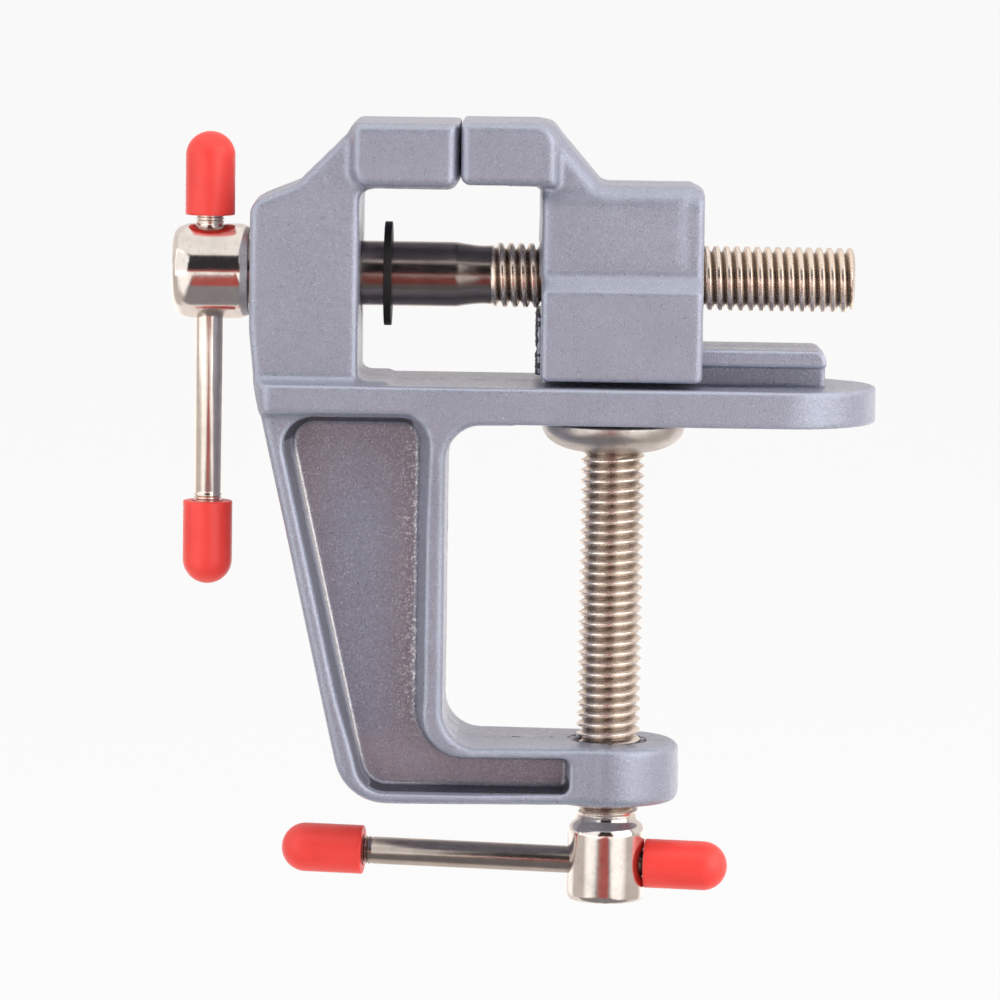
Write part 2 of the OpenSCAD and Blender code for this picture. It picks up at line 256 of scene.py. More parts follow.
def new_object(name, points, faces):
    """Smooth-shaded mesh object from points in millimetres."""
    mesh = bpy.data.meshes.new(name)
    if isinstance(faces, np.ndarray):
        faces = faces.tolist()
    mesh.from_pydata((np.asarray(points) * MM).tolist(), [], faces)
    mesh.validate()
    mesh.shade_smooth()
    piece = bpy.data.objects.new(name, mesh)
    bpy.context.collection.objects.link(piece)
    return piece


def carve(name, solid, lo, hi, step):
    """Mesh object of a solid that is given as a distance field."""
    points, quads = surface_net(solid, lo, hi, step)
    points = settle(solid, points.astype(np.float64), step)
    return new_object(name, points, quads)


# ---------------------------------------------------------------- the frame casting
PLATE_T = 4.7
PLATE_FOOT = 1.1     # height of the plate's lower edge where it meets the C-frame's outer side
PLATE_HALF = FRAME_HI[1]
WALL_HALF = 9.8
WALL_OUT = FRAME_LO[0] + 0.13
WALL_IN = -30.9
LIP_BOTTOM = 28.5
FIXED_FACE = -19.35
THROAT = -20.1
ARM_TOP = -39.4
ARM_BOTTOM = -46.4
BOSS_R = 8.65
RAIL = {"back": -8.5, "front": 25.6, "neck": 3.0, "flange": 6.6, "under": 7.2, "top": 9.4}

WALL_OUTLINE = rounded([
    (-42.4, PLATE_FOOT + 0.1, 0),
    (-43.0, 2.4, 1.5),
    (-43.7, 5.4, 6),
    (WALL_OUT, 11, 14),
    (WALL_OUT, 26.4, 2.2),
    (-38.6, 28.7, 2.5),
    (-31.2, FRAME_HI[2], 1.5),
    (FIXED_FACE, FRAME_HI[2], 0.6),
    (FIXED_FACE, LIP_BOTTOM, 1.2),
    (WALL_IN, LIP_BOTTOM, 2.0),
    (WALL_IN, PLATE_T, 1.2),
    (WALL_IN + 3, PLATE_T, 0),
    (WALL_IN + 3, PLATE_FOOT + 0.1, 0)])
LIP_BACK = -32.0
LIP_OUTLINE = rounded([
    (LIP_BACK, LIP_BOTTOM, 2.3),
    (LIP_BACK, FRAME_HI[2], 1.2),
    (FIXED_FACE, FRAME_HI[2], 0.5),
    (FIXED_FACE, LIP_BOTTOM, 1.2)])
PLATE_BACK = -43.15
PLATE_PLAN = rounded([
    (PLATE_BACK, -PLATE_HALF, 1.8),
    (FRAME_HI[0], -PLATE_HALF, PLATE_HALF - 0.01),
    (FRAME_HI[0], PLATE_HALF, PLATE_HALF - 0.01),
    (PLATE_BACK, PLATE_HALF, 1.8)], steps=20)
PLATE_SIDE = rounded([
    (-42.5, PLATE_FOOT, 0.5),
    (PLATE_BACK - 0.1, PLATE_T + 0.6, 0),
    (FRAME_HI[0] + 5, PLATE_T + 0.6, 0),
    (FRAME_HI[0] + 5, 0, 0),
    (-23.2, 0, 0),
    (-24.6, PLATE_FOOT, 0)])
ARM_END = -0.5
THROAT_R = 4.3
C_OUTLINE = rounded([
    (-42.95, 1.6, 0),
    (-32.2, ARM_BOTTOM - 0.1, 6.5),
    (ARM_END, ARM_BOTTOM - 0.1, 0),
    (ARM_END, ARM_TOP + 0.05, 0),
    (THROAT, ARM_TOP + 0.05, THROAT_R),
    (THROAT, 0, THROAT_R),
    (THROAT + 8, 0, 0),
    (THROAT + 8, 1.6, 0)])
# The web between the panels, at the foot of their walls
PANEL = {"left": -39.5, "right": -23.6, "top": -0.3, "arm_top": -41.1, "bottom": -44.7, "end": -5.1}
PANEL_OUTLINE = rounded([
    (PANEL["left"], PANEL["top"], 2.6),
    (-29.6, PANEL["bottom"], 3.2),
    (PANEL["end"], PANEL["bottom"], 0.6),
    (PANEL["end"], PANEL["arm_top"], 0.6),
    (PANEL["right"], PANEL["arm_top"], 6.0),
    (PANEL["right"], PANEL["top"], 2.2)])
RAIL_SECTION = rounded(mirrored([
    (RAIL["neck"], PLATE_T - 1, 0),
    (RAIL["neck"], RAIL["under"], 0.3),
    (RAIL["flange"], RAIL["under"], 0.25),
    (RAIL["flange"], RAIL["top"], 0.5)]))
RAIL_SIDE = rounded([
    (RAIL["back"], 0, 0),
    (RAIL["front"], 0, 0),
    (RAIL["front"], RAIL["top"], 1.5),
    (RAIL["back"], RAIL["top"], 0)])


def drafted(outline, x, y, z, half, edge):
    """Slab with an outline in X and Z, whose sides slope in from the parting plane at y = 0."""
    side = outline_distance(x, z, outline) + SKIN + np.abs(y) * DRAFT
    return meet(side, np.abs(y) - half + SKIN, edge)


def parting_line(x, y, z):
    """Low uneven ridge where the two halves of the mould met, left off the working faces."""
    ridge = np.exp(-(y / 0.45) ** 2) * (0.09 + 0.05 * ripple(x, y, z, 2.2, 11))
    ends = smooth_step(x, 28, 25) * smooth_step(z, 35.5, 33)
    return ridge * ends


def panel(x, y, z):
    """Recessed panels on both sides of the web, with sloping walls."""
    depth = np.abs(y) - WEB_HALF
    slope = PANEL_SLOPE * (0.45 + 0.55 * smooth_step(z, -42, -32))
    wall = outline_distance(x, z, PANEL_OUTLINE) - depth * slope
    return meet(wall, -depth, 0.3)


def in_box(solid, x, y, z, lo, hi):
    """Keeps a solid inside a CAD node's box."""
    for value, low, high in zip((x, y, z), lo, hi):
        solid = np.maximum(solid, np.maximum(low + 0.01 - value, value - high + 0.01))
    return solid


def frame_solid(x, y, z):
    """Fixed jaw, plate, rail, C-frame and boss in one, with panels and bores cut in."""
    side = np.abs(y)
    wall = drafted(WALL_OUTLINE, x, y, z, WALL_HALF, 0.85)
    lip = drafted(LIP_OUTLINE, x, y, z, FRAME_HI[1] - 0.2, 1.0)
    plan = outline_distance(x, y, PLATE_PLAN) + SKIN
    plate = meet(plan, np.abs(z - PLATE_T / 2) - PLATE_T / 2 + SKIN, 0.4)
    plate = meet(plate, outline_distance(x, z, PLATE_SIDE) + SKIN, 0.5)
    rail = outline_distance(y, z, RAIL_SECTION) + 0.02
    rail = meet(rail, outline_distance(x, z, RAIL_SIDE) + 0.02, 0.3)
    # The C-frame is as wide as the plate near the throat's top, and narrows towards the boss
    flare = smooth_step(x, -27, -22) * smooth_step(z, -15, 0) * (PLATE_HALF - WALL_HALF)
    taper = smooth_step(x, THROAT, 0) * (WALL_HALF - BOSS_R)
    c_side = outline_distance(x, z, C_OUTLINE) + SKIN + side * DRAFT
    c_frame = meet(c_side, side - (WALL_HALF + flare - taper) + SKIN, 0.9)
    boss_mid = (ARM_TOP + FRAME_LO[2]) / 2
    boss_half = (ARM_TOP - FRAME_LO[2]) / 2
    boss = meet(rod(x, y, 0, 0, BOSS_R - SKIN), np.abs(z - boss_mid) - boss_half + SKIN, 1.0)
    c_frame = join(c_frame, boss, 0.2)
    body = join(wall, lip, 1.2)
    body = join(body, plate, 1.7)
    body = join(body, rail, 0.3)
    body = join(body, c_frame, 0.5)
    body = cut(body, panel(x, y, z), 0.45)
    screw_bore = meet(rod(y, z, 0, SCREW_Z, BORE_R), x - WALL_IN - 4, 0.1)
    body = cut(body, screw_bore, 0.35)
    boss_bore = meet(rod(x, y, 0, 0, BORE_R), z - ARM_TOP - 4, 0.1)
    body = cut(body, boss_bore, 0.45)
    body = body + 0.025 * ripple(x, y, z, 9, 3) - parting_line(x, y, z)
    return in_box(body, x, y, z, FRAME_LO, FRAME_HI)


# ---------------------------------------------------------------- the moving jaw casting
BLOCK_BACK = -9.1
BLOCK_TOP = 28.9
SKIRT_TOP = 16.2
SKIRT_HALF = 10.6
BLOCK_HALF = 8.8
JAW_LIP_H = 7.7
RAIL_PLAY = 0.2

BLOCK_SECTION = rounded(mirrored([
    (SKIRT_HALF, JAW_LO[2], 0.6),
    (SKIRT_HALF, SKIRT_TOP, 0.7),
    (BLOCK_HALF, SKIRT_TOP + 2, 2.2),
    (BLOCK_HALF, BLOCK_TOP, 2.8)]))
BLOCK_SIDE = rounded([
    (BLOCK_BACK, JAW_LO[2], 1.0),
    (JAW_HI[0], JAW_LO[2], 1.0),
    (JAW_HI[0], BLOCK_TOP, 1.2),
    (BLOCK_BACK, BLOCK_TOP, 0)])
NECK_OUTLINE = rounded([
    (BLOCK_BACK, 18, 0),
    (BLOCK_BACK, JAW_HI[2] - JAW_LIP_H, 1.0),
    (BLOCK_BACK - 4, JAW_HI[2] - JAW_LIP_H, 0),
    (BLOCK_BACK - 4, JAW_HI[2] - 0.3, 0),
    (-7.9, JAW_HI[2] - 0.3, 1.0),
    (-1.6, BLOCK_TOP, 2.0),
    (JAW_HI[0] - 1.5, BLOCK_TOP, 0),
    (JAW_HI[0] - 1.5, 18, 0)])
MOVING_LIP = rounded([
    (JAW_LO[0], JAW_HI[2] - JAW_LIP_H, 1.2),
    (JAW_LO[0], JAW_HI[2], 0.5),
    (-7.2, JAW_HI[2], 2.7),
    (-7.2, JAW_HI[2] - JAW_LIP_H, 0.8)])
SLOT_SECTION = rounded(mirrored([
    (RAIL["neck"] + RAIL_PLAY, JAW_LO[2] - 1, 0),
    (RAIL["neck"] + RAIL_PLAY, RAIL["under"] - RAIL_PLAY, 0.2),
    (RAIL["flange"] + RAIL_PLAY, RAIL["under"] - RAIL_PLAY, 0.2),
    (RAIL["flange"] + RAIL_PLAY, RAIL["top"] + RAIL_PLAY, 0.2)]))


def moving_jaw_solid(x, y, z):
    """Block, neck and lip in one, with the rail's slot and the screw's bore cut in."""
    side = np.abs(y)
    block = outline_distance(y, z, BLOCK_SECTION) + SKIN
    block_side = outline_distance(x, z, BLOCK_SIDE) + SKIN + side * DRAFT
    block = meet(block, block_side, 0.8)
    neck = drafted(NECK_OUTLINE, x, y, z, BLOCK_HALF - 0.3, 2.2)
    lip = drafted(MOVING_LIP, x, y, z, JAW_HI[1], 1.0)
    body = join(block, neck, 1.0)
    body = join(body, lip, 0.9)
    body = cut(body, outline_distance(y, z, SLOT_SECTION), 0.3)
    body = cut(body, rod(y, z, 0, SCREW_Z, BORE_R), 0.4)
    # A thin ragged flash stands out of the back face under the screw
    flash = meet(side - 7.2, np.abs(z - 9.6) - 3.7, 0.3)
    flash = np.maximum(flash, np.abs(x - BLOCK_BACK) - 0.5 - 0.12 * ripple(x, y, z, 1.3, 21))
    flash = cut(flash, outline_distance(y, z, SLOT_SECTION), 0.1)
    body = join(body, flash, 0.1)
    body = body + 0.02 * ripple(x, y, z, 8, 5) - parting_line(x, y, z)
    return in_box(body, x, y, z, JAW_LO, JAW_HI)


# ---------------------------------------------------------------- heads with cross holes
def jaw_head_solid(x, y, z):
    """Barrel on the jaw screw's axis, with the handle's hole across it."""
    radius = SCREW_HI[1] - 0.01
    near = SCREW_LO[0] + 0.01
    # Both ends are crowned; the outer one ends in a flat dome
    profile = rounded([
        (0, near, 0),
        (5.0, near + 0.12, 1.5),
        (radius, near + 1.9, 4.0),
        (radius, JAW_HEAD_X - 0.9, 2.5),
        (radius - 0.45, JAW_HEAD_X, 0.2),
        (0, JAW_HEAD_X, 0)], steps=12)
    head = outline_distance(np.hypot(y, z - SCREW_Z), x, profile)
    hole = rod(x, y, JAW_BAR_X, 0, BAR_HOLE_R)
    return cut(head, hole, 0.25)


def clamp_head_solid(x, y, z):
    """Barrel on the clamp screw's axis, with the handle's hole across it."""
    lo = CLAMP_LO[2]
    radius = CLAMP_HI[0] - 0.01
    # The barrel's top is rounded, with an edge where the steep neck to the thread begins
    profile = np.array([
        (0, lo), (radius, lo), (radius, -50.95), (radius - 0.04, -50.6), (radius - 0.14, -50.3),
        (radius - 0.32, -50.0), (radius - 0.58, -49.75), (3.95, -49.55), (3.8, -49.3), (3.72, -49.0),
        (3.6, -48.7), (3.5, CLAMP_HEAD_Z), (0, CLAMP_HEAD_Z)])
    head = outline_distance(np.hypot(x, y), z, profile)
    head = meet(head, lo - z, 0.9)
    across = x * BAR_AXIS[1] - y * BAR_AXIS[0]
    hole = rod(across, z, 0, CLAMP_BAR_Z, BAR_HOLE_R)
    return cut(head, hole, 0.25)


# ---------------------------------------------------------------- turned pieces and threads
COLUMNS = 96


def turned(name, profile, place, columns=COLUMNS):
    """Solid of revolution. The profile is (radius, height) from one end of the axis to the other."""
    points = []
    faces = []
    rings = []
    angles = 2 * math.pi * np.arange(columns) / columns
    for r, h in profile:
        if r < 1e-6:
            rings.append([len(points)])
            points.append((0, 0, h))
        else:
            rings.append(list(range(len(points), len(points) + columns)))
            points.extend((r * math.cos(a), r * math.sin(a), h) for a in angles)
    for low, high in zip(rings, rings[1:]):
        for i in range(columns):
            j = (i + 1) % columns
            if len(low) == 1:
                faces.append((low[0], high[j], high[i]))
            elif len(high) == 1:
                faces.append((low[i], low[j], high[0]))
            else:
                faces.append((low[i], low[j], high[j], high[i]))
    return new_object(name, place(np.array(points)), faces)


def arc(cr, ch, r, start, end, steps=6):
    """Points of an arc in a (radius, height) profile, angles in degrees from the radius axis."""
    angles = np.radians(np.linspace(start, end, steps + 1))
    return [(cr + r * math.cos(a), ch + r * math.sin(a)) for a in angles]


def thread_form(flat, count=14):
    """Heights from -1 (root) to 1 (crest) over one pitch. The crest's flat is a share of the pitch."""
    form = []
    for offset in np.arange(count) / count:
        down = np.clip((abs(offset - 0.5) - flat / 2) / (0.47 - flat / 2), 0, 1)
        form.append((offset, 1 - 1.2 * down - 0.8 * smooth_step(down, 0, 1)))
    return form


def threaded_rod(name, z_tip, z_neck, flat, plain, place):
    """Rod with a rolled right-hand thread from z_tip down to z_neck, then the plain profile rings.

    Every ring of the thread climbs one pitch per turn, so its last column meets the first column of
    the ring one turn further up. Rings past an end are flattened onto it.
    """
    tip_round = 1.0
    runout = 0.8 * PITCH
    form = thread_form(flat)
    angles = 2 * math.pi * np.arange(COLUMNS) / COLUMNS
    rings = []
    for r, z in reversed(plain):
        rings.append(np.stack([r * np.cos(angles), r * np.sin(angles), np.full(COLUMNS, z)], axis=1))
    turns = int(math.ceil((z_tip - z_neck) / PITCH)) + 2
    for turn in range(turns):
        for offset, height in form:
            raw = z_neck + (turn - 1 + offset + angles / (2 * math.pi)) * PITCH
            z = np.clip(raw, z_neck, z_tip)
            fade = smooth_step(z, z_neck, z_neck + runout)
            reach = THREAD_R - BLANK_R if height > 0 else BLANK_R - ROOT_R
            r = BLANK_R + fade * height * reach
            tip = np.minimum(z_tip - z, tip_round)
            r = np.minimum(r, ROOT_R - 0.25 + 1.25 * np.sqrt(tip * (2 * tip_round - tip)))
            rings.append(np.stack([r * np.cos(angles), r * np.sin(angles), z], axis=1))
    last = len(rings) - 1

    def corner(ring, column):
        if column == COLUMNS:
            if ring >= len(plain):
                ring = min(ring + len(form), last)
            column = 0
        return ring * COLUMNS + column

    faces = []
    for k in range(last):
        for i in range(COLUMNS):
            faces.append((corner(k, i), corner(k, i + 1), corner(k + 1, i + 1), corner(k + 1, i)))
    top = len(rings) * COLUMNS
    points = np.concatenate(rings + [[(0, 0, z_tip), (0, 0, rings[0][0][2])]])
    for i in range(COLUMNS):
        j = (i + 1) % COLUMNS
        faces.append((last * COLUMNS + i, last * COLUMNS + j, top))
        faces.append((j, i, top + 1))
    piece = new_object(name, place(points), faces)
    clean(piece)
    return piece


def clean(piece):
    """Merges the points that lie on each other and drops the faces with no area."""
    work = bmesh.new()
    work.from_mesh(piece.data)
    bmesh.ops.remove_doubles(work, verts=work.verts, dist=0.002 * MM)
    bmesh.ops.dissolve_degenerate(work, edges=work.edges, dist=0.002 * MM)
    bmesh.ops.recalc_face_normals(work, faces=work.faces)
    work.to_mesh(piece.data)
    work.free()
    piece.data.shade_smooth()


def unite(target, other, name):
    """One closed mesh from two overlapping ones."""
    modifier = target.modifiers.new("unite", "BOOLEAN")
    modifier.operation = "UNION"
    modifier.solver = "MANIFOLD"
    modifier.object = other
    evaluated = target.evaluated_get(bpy.context.evaluated_depsgraph_get())
    mesh = bpy.data.meshes.new_from_object(evaluated)
    mesh.materials.clear()    # the union leaves an empty slot
    target.modifiers.clear()
    target.data = mesh
    target.name = name
    bpy.data.objects.remove(other)
    mesh.set_sharp_from_angle(angle=math.radians(40))
    return target


def along_jaw_screw(points):
    """Turns a piece built on Z so that it lies on the jaw screw's axis."""
    x, y, z = points.T
    return np.stack([z, y, SCREW_Z - x], axis=1)


def upright(points):
    """Leaves a piece on the clamp screw's axis, where it was built."""
    return points


def on_jaw_handle(points):
    """Moves a piece built on Z to the jaw handle's axis."""
    return points + np.array((JAW_BAR_X, 0, 0))


def on_clamp_handle(points):
    """Lays a piece built on Z along the clamp handle's axis."""
    across = np.cross((0, 0, 1), BAR_AXIS)
    across /= np.linalg.norm(across)
    up = np.cross(BAR_AXIS, across)
    x, y, z = points.T[:, :, None]
    return z * BAR_AXIS + y * across - x * up + np.array((0, 0, CLAMP_BAR_Z))


def handle_bar(name, low, high, place):
    """Bar between two heights, with a ridged grip under each cap."""
    ridge = 0.36
    grip = 7.2
    profile = [(0, low), (GRIP_R - 0.3, low), (GRIP_R, low + 0.3)]
    h = low + 0.5
    while h < low + grip - 0.3:
        profile += [(GRIP_R - 0.2, h), (GRIP_R, h + ridge * 0.35), (GRIP_R, h + ridge * 0.65)]
        h += ridge
    profile += [(BAR_R - 0.08, low + grip - 0.1), (BAR_R, low + grip + 0.1)]
    other_end = [(r, low + high - z) for r, z in reversed(profile)]
    return turned(name, profile + other_end, place, 48)


def handle_cap(name, mouth, direction, place):
    """Cap with its mouth at a height and its dome up (direction 1) or down (-1)."""
    r = CAP_R
    length = CAP_L - 0.01
    lip = 0.18
    bore = 1.75
    deep = 6.3
    profile = [(0, deep), (bore - 0.5, deep), (bore, deep - 0.5), (bore, 0.25), (bore + 0.2, 0)]
    profile += arc(r - lip, lip, lip, -90, 0, 4)
    # Faint rings left by the mould
    h = 0.7
    while h < length - r - 0.3:
        profile += [(r, h), (r - 0.016, h + 0.2), (r, h + 0.4)]
        h += 0.75
    profile += arc(0, length - r, r, 0, 90, 14)[1:-1] + [(0, length)]
    profile = [(a, mouth + direction * b) for a, b in profile]
    if direction < 0:
        profile = profile[::-1]
    return turned(name, profile, place, 64)


# ---------------------------------------------------------------- materials
def node_material(name):
    """New material with its node tree and its main shader."""
    material = bpy.data.materials.new(name)
    material.use_nodes = True
    tree = material.node_tree
    shader = tree.nodes["Principled BSDF"]
    return material, tree, shader


def feed(tree, socket, value):
    """Links a socket to another one, or sets its value."""
    if isinstance(value, bpy.types.NodeSocket):
        tree.links.new(value, socket)
    else:
        socket.default_value = value


def add(tree, kind, inputs=None, **settings):
    """New shader node. Inputs are values, or sockets to link from."""
    node = tree.nodes.new(kind)
    for key, value in settings.items():
        setattr(node, key, value)
    for key, value in (inputs or {}).items():
        feed(tree, node.inputs[key], value)
    return node


def maths(tree, operation, *values):
    """Result of a maths node."""
    return add(tree, "ShaderNodeMath", dict(enumerate(values)), operation=operation).outputs[0]


def object_coords(tree):
    """Place on the object as a vector, in metres."""
    return add(tree, "ShaderNodeTexCoord").outputs["Object"]


def split(tree, vector):
    """X, Y and Z of a vector."""
    return add(tree, "ShaderNodeSeparateXYZ", {"Vector": vector}).outputs


def noise(tree, scale_mm, detail, roughness, coords):
    """Noise whose features are about scale_mm across."""
    node = add(tree, "ShaderNodeTexNoise", {
        "Vector": coords, "Scale": 1 / (scale_mm * MM), "Detail": detail, "Roughness": roughness})
    return node.outputs["Fac"]


def remap(tree, value, low, high, to_low, to_high):
    """Value moved from one range to another, and kept inside it."""
    node = add(tree, "ShaderNodeMapRange", {
        "Value": value, "From Min": low, "From Max": high, "To Min": to_low, "To Max": to_high})
    return node.outputs["Result"]


def product(tree, *factors):
    """Product of shader values."""
    total = factors[0]
    for factor in factors[1:]:
        total = maths(tree, "MULTIPLY", total, factor)
    return total


def blend_colour(tree, factor, a, b, mode="MIX"):
    """Colour a at factor 0 and b at factor 1, or b added to a."""
    node = add(tree, "ShaderNodeMix", {0: factor, 6: a, 7: b}, data_type="RGBA", blend_type=mode)
    return node.outputs[2]


def shaded(tone, factor):
    """A colour made darker or lighter, with its alpha."""
    return tuple(min(1.0, c * factor) for c in tone) + (1.0,)


def dress(tree, shader, colour, metallic, roughness):
    """Sets a shader's main inputs."""
    feed(tree, shader.inputs["Base Color"], colour)
    feed(tree, shader.inputs["Metallic"], metallic)
    feed(tree, shader.inputs["Roughness"], roughness)


def roughen(tree, shader, height, strength, depth_mm):
    """Bumps a shader's surface."""
    bump = add(tree, "ShaderNodeBump", {"Height": height, "Strength": strength, "Distance": depth_mm * MM})
    feed(tree, shader.inputs["Normal"], bump.outputs["Normal"])


def web_edge_highlight(tree, parts):
    """Near 1 on a thin line along the slanted edge of the web, else 0: where its painted highlight goes.
    """
    edge_at_zero = -(PANEL["left"] + PANEL["top"] * PANEL_LEAN) * MM
    across = maths(tree, "MULTIPLY_ADD", parts["Z"], PANEL_LEAN, edge_at_zero)
    across = maths(tree, "ABSOLUTE", maths(tree, "ADD", across, parts["X"]))
    side = maths(tree, "ABSOLUTE", parts["Y"])
    return product(
        tree, remap(tree, across, 0.00034, 0.00018, 0, 0.9), remap(tree, side, 0.0039, 0.0041, 0, 1),
        remap(tree, side, 0.0054, 0.0050, 0, 1), remap(tree, parts["Z"], -0.003, -0.005, 0, 1),
        remap(tree, parts["Z"], -0.042, -0.039, 0, 1))


def web_tone(tree, parts, tone, edge_tone):
    """The web's colour: a cooler, lighter tone down its middle as a painted highlight, another at its
    edges, paler on the arm.
    """
    edge = shaded(edge_tone, 1)
    across = maths(tree, "ABSOLUTE", remap(tree, parts["X"], -0.038, -0.024, -1, 1))
    colour = blend_colour(tree, remap(tree, across, 0.2, 0.9, 0, 1), shaded(tone, 1), edge)
    colour = blend_colour(tree, remap(tree, parts["Z"], -0.012, -0.002, 0, 0.8), colour, edge)
    on_arm = remap(tree, parts["Z"], -0.037, -0.041, 0, 1)
    return blend_colour(tree, on_arm, colour, shaded(edge_tone, 1.25))


def web_glints(tree, coords, parts):
    """Coarse painted glints along the web's edge at the throat."""
    return product(
        tree, remap(tree, noise(tree, 0.3, 1, 0.5, coords), 0.56, 0.64, 0, 1),
        remap(tree, parts["X"], -0.0262, -0.0240, 0, 0.8), remap(tree, parts["Z"], -0.0400, -0.0350, 0, 1))


def cast_material(name, tone, rough, grain, grain_size, speck, edge_tone=None, sparkle=0.35):
    """Sand-fine grain on cast metal: pale specks and dark pits, with tiny white specks as painted glints,
    painted highlights on its edges and painted shade in its creases.

    With an edge tone, the colour turns to it away from the middle of the C-frame's web.
    """
    material, tree, shader = node_material(name)
    coords = object_coords(tree)
    parts = split(tree, coords)
    cloud = noise(tree, 7, 3, 0.5, coords)
    fine = noise(tree, grain_size, 2, 0.6, coords)
    coarse = noise(tree, 0.9, 3, 0.55, coords)
    tiny = noise(tree, 0.17, 1, 0.5, coords)
    colour = shaded(tone, 1)
    if edge_tone is not None:
        colour = web_tone(tree, parts, tone, edge_tone)
    colour = blend_colour(tree, remap(tree, cloud, 0.3, 0.7, 0, 0.10), colour, shaded(tone, 1), "ADD")
    colour = blend_colour(tree, remap(tree, fine, 0.55, 0.72, 0, speck), colour, shaded(tone, 1.7))
    colour = blend_colour(tree, remap(tree, fine, 0.42, 0.28, 0, speck * 0.8), colour, shaded(tone, 0.5))
    # Tiny white specks: painted glints
    colour = blend_colour(tree, remap(tree, tiny, 0.68, 0.76, 0, sparkle), colour, (0.95, 0.95, 1.0, 1))
    if edge_tone is not None:
        # Painted glints near the web's edge at the throat
        colour = blend_colour(tree, web_glints(tree, coords, parts), colour, (0.85, 0.84, 0.88, 1))
    # Painted highlights on convex edges and painted shade in concave creases, from the mesh's pointiness
    edge = add(tree, "ShaderNodeNewGeometry").outputs["Pointiness"]
    colour = blend_colour(tree, remap(tree, edge, 0.515, 0.58, 0, 0.7), colour, shaded(tone, 1.55))
    colour = blend_colour(tree, remap(tree, edge, 0.485, 0.40, 0, 0.7), colour, shaded(tone, 0.45))
    # A painted highlight along the web's slanted edge
    colour = blend_colour(tree, web_edge_highlight(tree, parts), colour, (0.80, 0.77, 0.76, 1))
    dress(tree, shader, colour, 0.5, remap(tree, coarse, 0.3, 0.7, rough - 0.06, rough + 0.08))
    bump_a = add(tree, "ShaderNodeBump", {"Height": fine, "Strength": grain, "Distance": 0.05 * MM})
    bump_b = add(tree, "ShaderNodeBump", {
        "Height": coarse, "Strength": 0.3, "Distance": 0.05 * MM, "Normal": bump_a.outputs["Normal"]})
    feed(tree, shader.inputs["Normal"], bump_b.outputs["Normal"])
    return material


def nickel_material(name, rough, tone, streak=None):
    """Nickel plate with faint clouds. A streak scale gives it fine turning or drawing lines."""
    material, tree, shader = node_material(name)
    coords = object_coords(tree)
    cloud = noise(tree, 2.5, 4, 0.6, coords)
    if streak is not None:
        stretch = add(tree, "ShaderNodeMapping", {"Vector": coords, "Scale": streak})
        fine = noise(tree, 0.25, 3, 0.6, stretch.outputs["Vector"])
    else:
        fine = noise(tree, 0.5, 3, 0.6, coords)
    colour = blend_colour(tree, remap(tree, cloud, 0.3, 0.7, 0, 1), shaded(tone, 0.86), shaded(tone, 1.04))
    colour = blend_colour(tree, remap(tree, fine, 0.60, 0.70, 0, 0.35), colour, shaded(tone, 0.6))
    dress(tree, shader, colour, 1.0, remap(tree, fine, 0.3, 0.7, rough * 0.8, rough * 1.3))
    roughen(tree, shader, fine, 0.22, 0.02)
    return material


def thread_material(name, along_x, root, crest):
    """Nickel on a rolled thread: its colour darkens from the crests to the roots as painted shade, with
    darker blotches.
    """
    material, tree, shader = node_material(name)
    coords = object_coords(tree)
    parts = split(tree, coords)
    if along_x:
        height = maths(tree, "SUBTRACT", parts["Z"], SCREW_Z * MM)
        flat = add(tree, "ShaderNodeCombineXYZ", {"X": parts["Y"], "Y": height})
    else:
        flat = add(tree, "ShaderNodeCombineXYZ", {"X": parts["X"], "Y": parts["Y"]})
    radius = add(tree, "ShaderNodeVectorMath", {0: flat.outputs[0]}, operation="LENGTH").outputs["Value"]
    fine = noise(tree, 0.3, 3, 0.6, coords)
    # Painted shade: darker towards the thread's roots
    depth = remap(tree, radius, 3.2 * MM, 3.6 * MM, 0, 1)
    colour = blend_colour(tree, depth, shaded(root, 1), shaded(crest, 1))
    colour = blend_colour(tree, remap(tree, fine, 0.55, 0.70, 0, 0.45), colour, shaded(root, 1))
    dress(tree, shader, colour, 1.0, remap(tree, fine, 0.3, 0.7, 0.20, 0.36))
    roughen(tree, shader, fine, 0.3, 0.03)
    return material


def plastic_material(name):
    """Soft red vinyl that lets a little light through."""
    material, tree, shader = node_material(name)
    coords = object_coords(tree)
    cloud = noise(tree, 5, 2, 0.5, coords)
    fine = noise(tree, 0.3, 2, 0.5, coords)
    colour = blend_colour(tree, cloud, (0.80, 0.045, 0.035, 1), (0.92, 0.075, 0.06, 1))
    dress(tree, shader, colour, 0.0, 0.36)
    shader.inputs["Subsurface Weight"].default_value = 0.5
    shader.inputs["Subsurface Radius"].default_value = (1.0, 0.25, 0.2)
    shader.inputs["Subsurface Scale"].default_value = 1.2 * MM
    roughen(tree, shader, fine, 0.1, 0.02)
    return material


def black_material(name):
    """Blackened steel."""
    material, tree, shader = node_material(name)
    coords = object_coords(tree)
    fine = noise(tree, 0.4, 3, 0.5, coords)
    colour = blend_colour(tree, fine, (0.005, 0.0045, 0.005, 1), (0.014, 0.013, 0.014, 1))
    dress(tree, shader, colour, 0.0, 0.55)
    shader.inputs["Specular IOR Level"].default_value = 0.3
    roughen(tree, shader, fine, 0.2, 0.03)
    return material


CAST = cast_material("cast_aluminium", (0.325, 0.342, 0.42), 0.31, 0.9, 0.22, 0.5)
# The web: the casting's tone darkened as painted shade, with a painted highlight down its middle
WEB = cast_material("cast_web_painted_shade", (0.265, 0.283, 0.365), 0.27, 1.0, 0.24, 0.8,
                    edge_tone=(0.278, 0.258, 0.302), sparkle=0.9)
